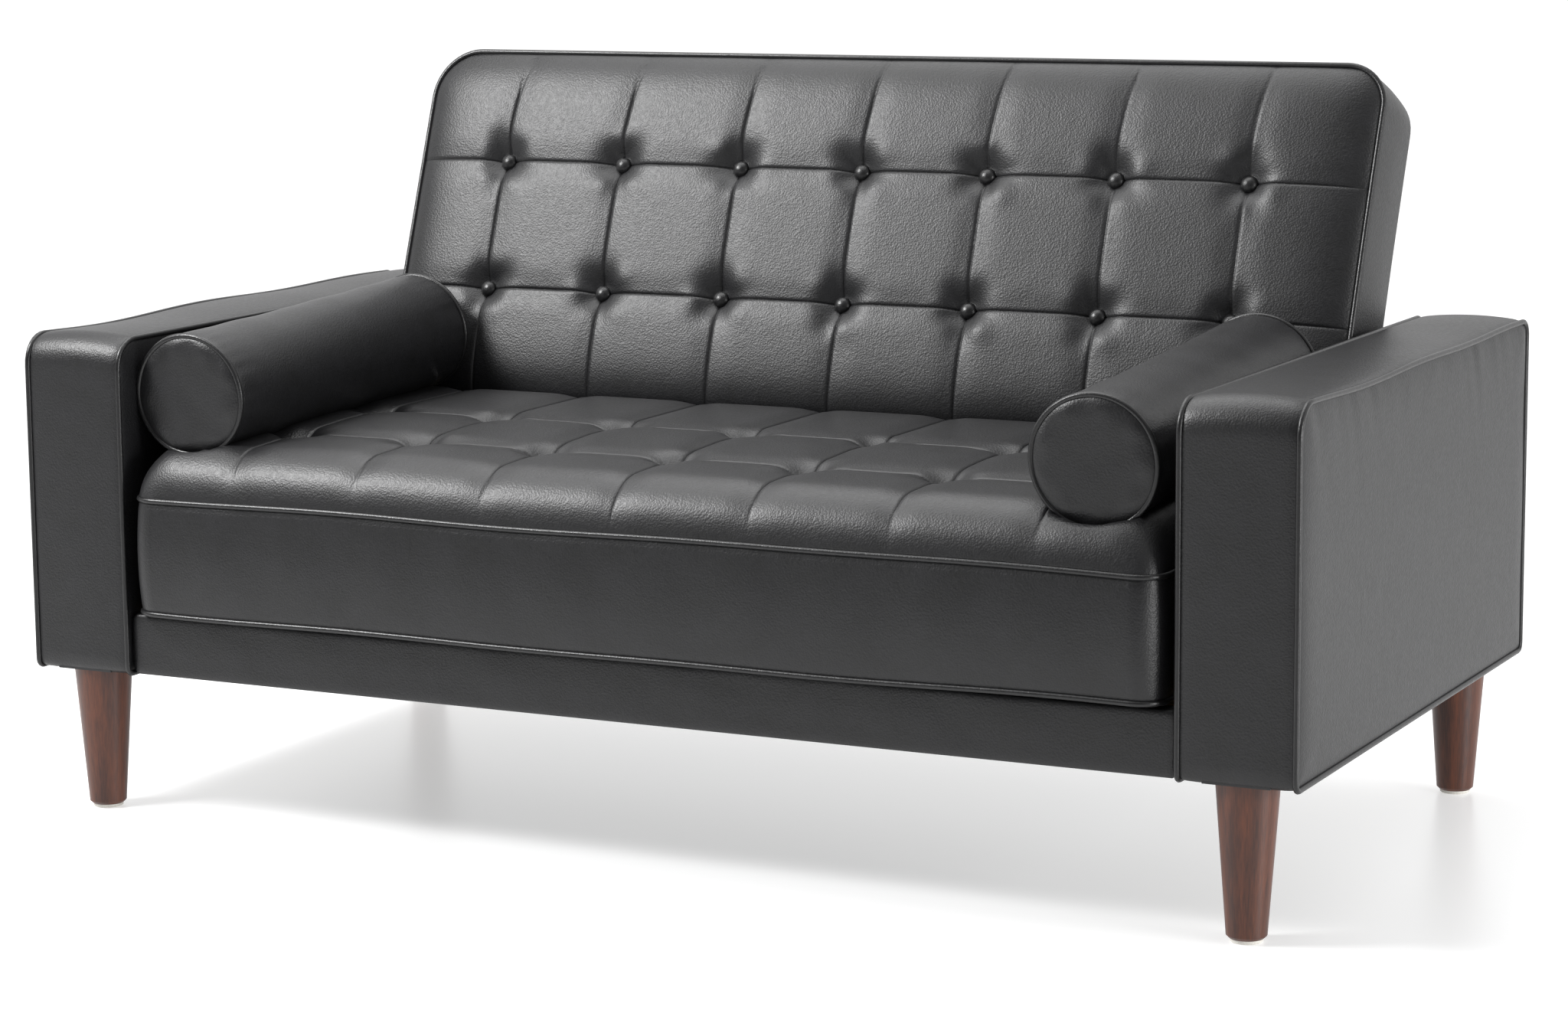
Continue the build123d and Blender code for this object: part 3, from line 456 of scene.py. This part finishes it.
# %% Arms
X = np.array([1.0, 0.0, 0.0])
arm_welts, arm_pads = [], []
for word, side in (("left", -1), ("right", 1)):
    low, high = map(np.array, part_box(f"arm_cover_{word}"))
    y_line = crowded([low[1], low[1] + 0.2, high[1] - 0.2, high[1]], 26)
    z_line = crowded([low[2], low[2] + 0.12, high[2] - 0.12, high[2]], 22)
    panel_y, panel_z = outline_grid(y_line, z_line, (0.009, 0.009), (0.033, 0.016))
    rim_in = np.minimum.reduce([panel_y - low[1], high[1] - panel_y, panel_z - low[2], high[2] - panel_z])
    top_gap = high[2] - panel_z
    outer_x, inner_x = (high[0], low[0]) if side > 0 else (low[0], high[0])
    pucker = waves(panel_y + 0.3 * panel_z, 40 + side, (0.035, 0.052, 0.083), 1.5 * MM)
    pucker = pucker * np.exp(-top_gap / 0.035) * quarter(rim_in / 0.02)
    puff = 0.0035 * quarter(rim_in / 0.05) + waves(panel_z + 0.4 * panel_y, 50, (0.31, 0.19), 0.6 * MM)
    puff = puff * quarter(rim_in / 0.03) + pucker
    groove = seam_dip(rim_in, 2.8 * MM)
    edge_lift = waves(panel_y, 45 + side, (0.62, 0.36), 3.6 * MM) * np.exp(-top_gap / 0.02)
    outer = np.stack([outer_x + side * (puff - groove), panel_y, panel_z + edge_lift], -1)
    inner = np.stack([inner_x - side * (0.0005 * quarter(rim_in / 0.03) - groove), panel_y, panel_z], -1)

    def strip_bulge(t, loop):
        """Crown of the strip: 6 mm on top, 2 mm in front and behind, almost none below."""
        upper = np.clip((loop[:, 2] - (high[2] - 0.03)) / 0.03, 0, 1)
        below = loop[:, 2] < low[2] + 0.01
        crown_height = np.where(below, 0.0008, 0.0022 + 0.0040 * upper)
        ripple = waves(loop[:, 1] - loop[:, 2], 60 + side, (0.33, 0.17), 0.5 * MM)
        return np.sin(pi * t) ** 0.6 * (crown_height + np.where(below, 0, ripple)) - beside_seams(t, 0.125)

    # a left arm's columns run backwards, so that its rim still turns round its own axis
    arm = block(f"arm_pad_{word}", outer[:, ::side], inner[:, ::side], X * side, strip_bulge, 40)
    arm_pads.append(arm)
    for place, skin, step in (("outer", outer, -side * SUNK), ("inner", inner, side * SUNK)):
        loop = rim(skin)
        loop[:, 0] = loop[:, 0].mean() + step
        out = loop_outward(loop, X)
        loop = loop - SUNK * out
        arm_welts.append((word, tube(f"arm_welt_{place}_{word}", loop, out, X)))
print("arms", [a.name for a in arm_pads])

# %% [markdown]
# ## Rails
# The front and rear rails are boards wrapped in the same leather. A rounded rectangle is
# carried along the rail, and slow waves across its face stand for the pull of the staples.

# %% Wrapped rails
def wrapped_rail(name, node, seed):
    """Rounded rectangle (a superellipse of power 9) carried along X, with a slack face."""
    low, high = map(np.array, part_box(node))
    mid, half = (low + high) / 2, (high - low) / 2
    turn = np.linspace(0, 2 * pi, 96, endpoint=False)
    y = half[1] * np.sign(np.cos(turn)) * np.abs(np.cos(turn)) ** (2 / 9)
    z = half[2] * np.sign(np.sin(turn)) * np.abs(np.sin(turn)) ** (2 / 9)
    x = np.linspace(low[0], high[0], 240)
    ends = np.minimum(x - low[0], high[0] - x)
    shrink = 0.86 + 0.14 * quarter(ends / 0.004)
    slack = waves(x[:, None] + 0.8 * z[None], seed, (0.42, 0.21, 0.12), 1.0 * MM)
    slack = slack * np.exp(-((z - half[2] * 0.2) / (half[2] * 0.8)) ** 2)[None]
    face_y = mid[1] + y[None] * shrink[:, None] + np.sign(y)[None] * slack * quarter(ends / 0.05)[:, None]
    body = np.stack([x[:, None] + 0 * face_y, face_y, mid[2] + z[None] * shrink[:, None]], -1)
    faces = grid_faces(len(x), len(turn), wrap=True).tolist()
    faces += [list(range(len(turn))), list(range((len(x) - 1) * len(turn), len(x) * len(turn)))]
    return object_from(name, body, faces)


front_wrap = wrapped_rail("front_rail_wrap", "front_rail_cover", 81)
rear_wrap = wrapped_rail("rear_rail_wrap", "rear_rail_cover", 82)

# %% [markdown]
# ## Bolsters
# A bolster is a tube of leather round a foam roll, closed by two discs with piping. It
# is a little slack, so it sags where it lies, and short wrinkles run in from the piping.

# %% Bolsters
ROLL_AXIS = np.array([0.0, cos(SLOPE), sin(SLOPE)])
ROLL_UP = np.array([0.0, -sin(SLOPE), cos(SLOPE)])


def bolster(word, seed):
    """Roll of radius R(angle, s) about a sloping axis, with domed, slightly puckered ends."""
    low, high = map(np.array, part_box(f"bolster_cover_{word}"))
    radius = (high[0] - low[0]) / 2
    length = (high[1] - low[1] - 2 * radius * sin(SLOPE)) / cos(SLOPE)
    start = np.array([(low[0] + high[0]) / 2, low[1] + radius * sin(SLOPE), low[2] + radius * cos(SLOPE)])
    turn = np.linspace(0, 2 * pi, 160, endpoint=False)
    disc = 0.004 + 0.996 * np.sin(np.linspace(0, pi / 2, 22))
    along = length * (1 - np.cos(np.linspace(0, pi, 70))) / 2
    s = np.concatenate([np.zeros(21), along, np.full(21, length)])
    share = np.concatenate([disc[:-1], np.ones(70), disc[-2::-1]])
    s, share = s[:, None], share[:, None]
    end = np.minimum(s, length - s)
    sag = 1 - 0.012 * (1 + np.sin(turn)[None]) * np.sin(pi * np.clip(s / length, 0, 1))
    lobes = 1 + 0.008 * np.cos(2 * turn + seed) + 0.005 * np.cos(3 * turn + 2 * seed)
    flat = 1 - 0.028 * np.exp(-((turn - 1.5 * pi) / 0.35) ** 2)
    gather = sum(np.cos(k * turn + seed * k) for k in (13, 19, 29))
    gather = gather * 0.00035 * end / 0.01 * np.exp(-end / 0.012)
    slack = waves(s + 0.06 * np.sin(turn)[None], int(10 * seed), (0.21, 0.13, 0.09), 0.9 * MM)
    slack = slack * quarter(end / 0.05)
    body = radius * (lobes * flat) * sag + gather + slack + 0.0015 * quarter(end / 0.03)
    body -= seam_dip(end, 2.2 * MM)
    r = share * body
    inward = (1 - share) * radius
    dish = 0.0055 * quarter(inward / 0.022) - seam_dip(inward, 2.5 * MM)
    pucker = 0.0006 * np.cos(9 * turn + 3 * seed) * np.exp(-((inward - 0.011) / 0.008) ** 2)
    dome = dish + pucker + waves(share * np.cos(turn - seed)[None], 7, (1.3, 0.7), 0.8 * MM) * (1 - share)
    shift = np.where(s <= 0, -dome, np.where(s >= length, dome, 0))
    shift = shift * (share < 1)
    place = (start + (s + shift)[..., None] * ROLL_AXIS + (r * np.cos(turn))[..., None] * X
             + (r * np.sin(turn))[..., None] * ROLL_UP)
    place[..., 2] -= BOLSTER_DROP[word] * (1 - np.clip(s / length, 0, 1))
    count = len(turn)
    faces = grid_faces(place.shape[0], count, wrap=True).tolist()
    faces += [list(range(count)), list(range((place.shape[0] - 1) * count, place.shape[0] * count))]
    roll = object_from(f"bolster_roll_{word}", place, faces)
    welts = []
    for tag, row in (("front", 21), ("rear", 21 + 69)):
        loop = place[row]
        centre = loop.mean(0)
        out = (loop - centre) / np.linalg.norm(loop - centre, axis=1, keepdims=True)
        welts.append(tube(f"bolster_welt_{tag}_{word}", loop - 0.0005 * out, out, ROLL_AXIS, 3.2 * MM))
    return roll, welts


bolsters = {word: bolster(word, seed) for word, seed in (("left", 0.7), ("right", 2.1))}
print("bolsters", list(bolsters))

# %% [markdown]
# ## Colours
# Colours are written as the sRGB hex values a designer would pick, and turned to the
# linear light values that the shader works in.

# %% Colour and node helpers
def linear(hex_colour):
    """sRGB hex to linear RGBA: ((c + 0.055) / 1.055) ** 2.4 above the toe."""
    raw = [int(hex_colour[k:k + 2], 16) / 255 for k in (1, 3, 5)]
    return (*[c / 12.92 if c <= 0.04045 else ((c + 0.055) / 1.055) ** 2.4 for c in raw], 1.0)


def add(tree, kind, links=None, **settings):
    """Add a node, set its properties or input sockets by name, and link its inputs."""
    node = tree.nodes.new(kind)
    for key, value in settings.items():
        if hasattr(node, key) and key not in node.inputs:
            setattr(node, key, value)
        else:
            node.inputs[key.replace("_", " ")].default_value = value
    for socket, source in (links or {}).items():
        tree.links.new(source, node.inputs[socket])
    return node


def new_material(name):
    """A node material with its own Principled shader; returns material, tree, shader, coordinates."""
    material = bpy.data.materials.new(name)
    material.use_nodes = True
    tree = material.node_tree
    shader = tree.nodes["Principled BSDF"]
    place = add(tree, "ShaderNodeTexCoord").outputs["Object"]
    return material, tree, shader, place


def blend_colours(tree, factor, dark, light, low=0.3, high=0.7):
    """Two hex colours mixed by a factor through a ramp; returns the colour socket."""
    ramp = add(tree, "ShaderNodeValToRGB", {"Fac": factor})
    ramp.color_ramp.elements[0].position, ramp.color_ramp.elements[1].position = low, high
    ramp.color_ramp.elements[0].color = linear(dark)
    ramp.color_ramp.elements[1].color = linear(light)
    return ramp.outputs["Color"]


# %% [markdown]
# ## Faux leather
# The cover is PVC-coated cloth, embossed with a pebble grain and finished with a satin
# topcoat. The pebbles are about 1.2 mm across; they are drawn at 2.2 mm, because finer
# ones vanish. A second, slower unevenness shows the foam under the skin.

# %% Faux leather
def embossed_vinyl(name, dark, light, roughness, grain=0.30):
    """Black PVC leather, satin: pebbled bump from cell edges plus slow unevenness.

    IOR 1.47, as bare PVC is 1.53 and its topcoat less.
    """
    material, tree, shader, place = new_material(name)
    cells = add(tree, "ShaderNodeTexVoronoi", {"Vector": place}, feature="F1", Scale=1 / 0.0022)
    soft = add(tree, "ShaderNodeTexNoise", {"Vector": place}, Scale=1 / 0.030, Detail=4.0)
    fine = add(tree, "ShaderNodeTexNoise", {"Vector": place}, Scale=1 / 0.0045, Detail=3.0)
    tint = blend_colours(tree, soft.outputs["Fac"], dark, light)
    tree.links.new(tint, shader.inputs["Base Color"])
    shine = add(tree, "ShaderNodeMapRange", {"Value": fine.outputs["Fac"]})
    shine.inputs["To Min"].default_value = roughness - 0.06
    shine.inputs["To Max"].default_value = roughness + 0.08
    tree.links.new(shine.outputs["Result"], shader.inputs["Roughness"])
    pebble = add(tree, "ShaderNodeBump", {"Height": cells.outputs["Distance"]},
                 Strength=grain, Distance=0.0007)
    slack = add(tree, "ShaderNodeBump", {"Height": fine.outputs["Fac"], "Normal": pebble.outputs["Normal"]},
                Strength=0.12, Distance=0.0010)
    slow = add(tree, "ShaderNodeBump", {"Height": soft.outputs["Fac"], "Normal": slack.outputs["Normal"]},
               Strength=0.10, Distance=0.0030)
    tree.links.new(slow.outputs["Normal"], shader.inputs["Normal"])
    shader.inputs["IOR"].default_value = 1.47
    return material


vinyl = embossed_vinyl("embossed_pvc_leather", "#111112", "#161618", 0.42)
welt_vinyl = embossed_vinyl("piping_pvc_leather", "#101011", "#161617", 0.34, 0.15)

# %% [markdown]
# ## Timber
# The legs are turned beech, stained walnut and lacquered. The grain runs up the leg, so
# the noise is stretched along Z: fibres about 1.5 mm wide and tens of millimetres long.
# The inner boards are plain sawn pine with wide, pale growth bands.

# %% Timber
def timber(name, dark, light, along, roughness, coat, fibre=0.0015):
    """Wood grain: noise stretched by 25 along one axis, distorting broad growth bands."""
    material, tree, shader, place = new_material(name)
    stretch = [1.0, 1.0, 1.0]
    stretch[along] = 0.04
    space = add(tree, "ShaderNodeMapping", {"Vector": place}, Scale=stretch)
    fibres = add(tree, "ShaderNodeTexNoise", {"Vector": space.outputs["Vector"]},
                 Scale=1 / fibre, Detail=6.0, Roughness=0.6)
    bands = add(tree, "ShaderNodeTexNoise", {"Vector": space.outputs["Vector"]},
                Scale=1 / 0.012, Detail=3.0)
    both = add(tree, "ShaderNodeMath", operation="MULTIPLY_ADD")
    tree.links.new(fibres.outputs["Fac"], both.inputs[0])
    both.inputs[1].default_value = 0.45
    half = add(tree, "ShaderNodeMath", operation="MULTIPLY")
    tree.links.new(bands.outputs["Fac"], half.inputs[0])
    half.inputs[1].default_value = 0.55
    tree.links.new(half.outputs[0], both.inputs[2])
    tint = blend_colours(tree, both.outputs[0], dark, light, 0.38, 0.64)
    tree.links.new(tint, shader.inputs["Base Color"])
    bump = add(tree, "ShaderNodeBump", {"Height": fibres.outputs["Fac"]}, Strength=0.12, Distance=0.0004)
    tree.links.new(bump.outputs["Normal"], shader.inputs["Normal"])
    shader.inputs["Roughness"].default_value = roughness
    shader.inputs["Coat Weight"].default_value = coat
    shader.inputs["Coat Roughness"].default_value = 0.18
    return material


walnut = timber("walnut_stained_beech", "#331407", "#5c2d15", 2, 0.45, 0.12)
pine = timber("sawn_pine", "#a98555", "#d8bc8c", 0, 0.7, 0.0, 0.002)

# %% [markdown]
# ## Hidden metal, cloth and plastic
# The hinge plates are steel with a satin black powder coat, which has a faint orange-peel
# texture. Bolts are zinc plated, the dust cloth is spun-bonded felt, and the floor glides
# are moulded nylon.

# %% Other finishes
def plain_finish(name, dark, light, roughness, metallic, cell, depth):
    """A finish with slight colour variation and a bump of `depth` over cells of `cell` metres."""
    material, tree, shader, place = new_material(name)
    noise = add(tree, "ShaderNodeTexNoise", {"Vector": place}, Scale=1 / cell, Detail=4.0)
    tint = blend_colours(tree, noise.outputs["Fac"], dark, light)
    tree.links.new(tint, shader.inputs["Base Color"])
    bump = add(tree, "ShaderNodeBump", {"Height": noise.outputs["Fac"]}, Strength=0.3, Distance=depth)
    tree.links.new(bump.outputs["Normal"], shader.inputs["Normal"])
    shader.inputs["Roughness"].default_value = roughness
    shader.inputs["Metallic"].default_value = metallic
    return material


finishes = {
    "upholstery": vinyl,
    "piping": welt_vinyl,
    "buttons": welt_vinyl,
    "leg_wood": walnut,
    "frame_wood": pine,
    "hinge_steel": plain_finish("black_powder_coat", "#141415", "#1e1e20", 0.45, 0.0, 0.003, 0.0003),
    "fasteners": plain_finish("zinc_plate", "#9a9a9c", "#b9b9bb", 0.32, 1.0, 0.002, 0.0001),
    "spring_steel": plain_finish("oiled_spring_steel", "#4a4846", "#6a6866", 0.35, 1.0, 0.004, 0.0001),
    "foam": plain_finish("polyether_foam", "#d8cfa8", "#e6dfc2", 0.9, 0.0, 0.0015, 0.0006),
    "dust_cloth": plain_finish("spun_bonded_felt", "#121212", "#1f1f1f", 0.95, 0.0, 0.001, 0.0004),
    "webbing": plain_finish("elastic_webbing", "#2c2a28", "#45403a", 0.85, 0.0, 0.0015, 0.0005),
    "rubber": plain_finish("moulded_rubber", "#151515", "#1c1c1c", 0.7, 0.0, 0.002, 0.0002),
    "glide": plain_finish("moulded_nylon", "#cfccc4", "#e2dfd8", 0.5, 0.0, 0.002, 0.0001),
}
slot_of = {s["node"]: s["material_slot"] for s in frame["record"]["subparts"]}
for node, thing in nodes.items():
    thing.data.materials.clear()
    thing.data.materials.append(finishes[slot_of[node]])
print("finishes", len(finishes))

# %% [markdown]
# ## What rides on what
# Each soft piece is tied to the body that carries it and takes its finish, and the plain
# blocks of the frame that it stands for are hidden.

# %% Dress the frame
def dress(piece, body, slot, *covered):
    """Give a piece its body and its finish, and hide the frame blocks it stands for."""
    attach(piece, body)
    piece.data.materials.append(finishes[slot])
    if covered:
        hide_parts(*covered)


dress(seat_cushion, "seat", "upholstery", "seat_cover", "seat_foam")
dress(seat_welt_top, "seat", "piping", "seat_piping")
dress(seat_welt_foot, "seat", "piping")
dress(seat_buttons, "seat", "buttons", "seat_buttons")
dress(back_cushion, "back", "upholstery", "back_cover", "back_foam")
dress(back_welt, "back", "piping", "back_piping")
dress(back_buttons, "back", "buttons", "back_buttons")
for word, arm in zip(("left", "right"), arm_pads):
    dress(arm, "base", "upholstery", f"arm_cover_{word}", f"arm_padding_{word}")
for k, (word, welt) in enumerate(arm_welts):
    dress(welt, "base", "piping", *([f"arm_piping_{word}"] if k % 2 == 0 else []))
dress(front_wrap, "base", "upholstery", "front_rail_cover")
dress(rear_wrap, "base", "upholstery", "rear_rail_cover")
for word, (roll, welts) in bolsters.items():
    dress(roll, f"bolster_{word}", "upholstery", f"bolster_cover_{word}", f"bolster_core_{word}")
    dress(welts[0], f"bolster_{word}", "piping", f"bolster_piping_{word}")
    dress(welts[1], f"bolster_{word}", "piping")

# %% [markdown]
# ## Floor, light and camera
# A white sweep, one big soft light overhead, a stronger one from the left that rakes the
# tufting, and a weak fill from the right. The camera stands to the right of the middle,
# a little above the seat, and is turned half a degree.

# %% Floor
floor_mesh = bpy.data.meshes.new("studio_floor")
FLOOR = 14.0                     # half its width
floor_corners = [(a * FLOOR, b * FLOOR, 0) for a, b in ((-1, -1), (1, -1), (1, 1), (-1, 1))]
floor_mesh.from_pydata(floor_corners, [], [(0, 1, 2, 3)])
floor = bpy.data.objects.new("studio_floor", floor_mesh)
bpy.context.scene.collection.objects.link(floor)
paper, _, shader, _ = new_material("white_sweep")
shader.inputs["Base Color"].default_value = linear("#c4c4c4")
shader.inputs["Roughness"].default_value = 0.30
shader.inputs["Specular IOR Level"].default_value = 0.4
shader.inputs["Emission Color"].default_value = linear("#ffffff")
shader.inputs["Emission Strength"].default_value = 0.46
floor_mesh.materials.append(paper)
floor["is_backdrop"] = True


# %% Lights
def soft_light(name, spot, aim, size, power):
    """A square area light at `spot`, turned to face `aim`."""
    data = bpy.data.lights.new(name, "AREA")
    data.size, data.energy = size, power
    lamp = bpy.data.objects.new(name, data)
    bpy.context.scene.collection.objects.link(lamp)
    lamp.location = spot
    lamp.rotation_euler = (Vector(aim) - Vector(spot)).to_track_quat("-Z", "Y").to_euler()
    return lamp


soft_light("overhead", (-0.6, 0.2, 3.2), (0, 0, 0.3), 2.6, 72)
soft_light("key_left", (-1.8, -1.5, 2.3), (0.1, 0.2, 0.75), 0.9, 112)
soft_light("fill_right", (4.2, -0.6, 0.9), (0.75, 0, 0.35), 1.6, 95)
world = bpy.data.worlds.new("studio")
world.use_nodes = True
sky = world.node_tree
outward = add(sky, "ShaderNodeTexCoord").outputs["Generated"]
direction = add(sky, "ShaderNodeSeparateXYZ", {"Vector": outward})
behind = add(sky, "ShaderNodeMapRange", {"Value": direction.outputs["Y"]})
for socket, value in (("From Min", -0.9), ("From Max", 0.15), ("To Min", 0.08), ("To Max", 1.05)):
    behind.inputs[socket].default_value = value
sky.links.new(behind.outputs["Result"], sky.nodes["Background"].inputs["Strength"])
sky.nodes["Background"].inputs["Color"].default_value = linear("#ffffff")
bpy.context.scene.world = world
bpy.context.scene.view_settings.view_transform = "Standard"

# %% Camera
AZIMUTH, TILT, ROLL = radians(26.58), radians(9.17), radians(-0.5)
CAMERA_PLACE = (2.00185, -3.98433, 1.07593)
look = np.array([-sin(AZIMUTH) * cos(TILT), cos(AZIMUTH) * cos(TILT), -sin(TILT)])
level = np.array([cos(AZIMUTH), sin(AZIMUTH), 0.0])
upright = np.cross(level, look)
right = level * cos(ROLL) + upright * sin(ROLL)
above = np.cross(right, look)
lens = bpy.data.cameras.new("camera")
camera = bpy.data.objects.new("camera", lens)
bpy.context.scene.collection.objects.link(camera)
turned = np.eye(4)
turned[:3, 0], turned[:3, 1], turned[:3, 2] = right, above, -look
turned[:3, 3] = CAMERA_PLACE
camera.matrix_world = Matrix(turned.tolist())
lens.sensor_width = 36.0
lens.lens = 90.57
lens.shift_y = -0.006
bpy.context.scene.camera = camera

# %% Sizes and finish
low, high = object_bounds()
print("visual box", [round(v, 3) for v in (*low, *high)])
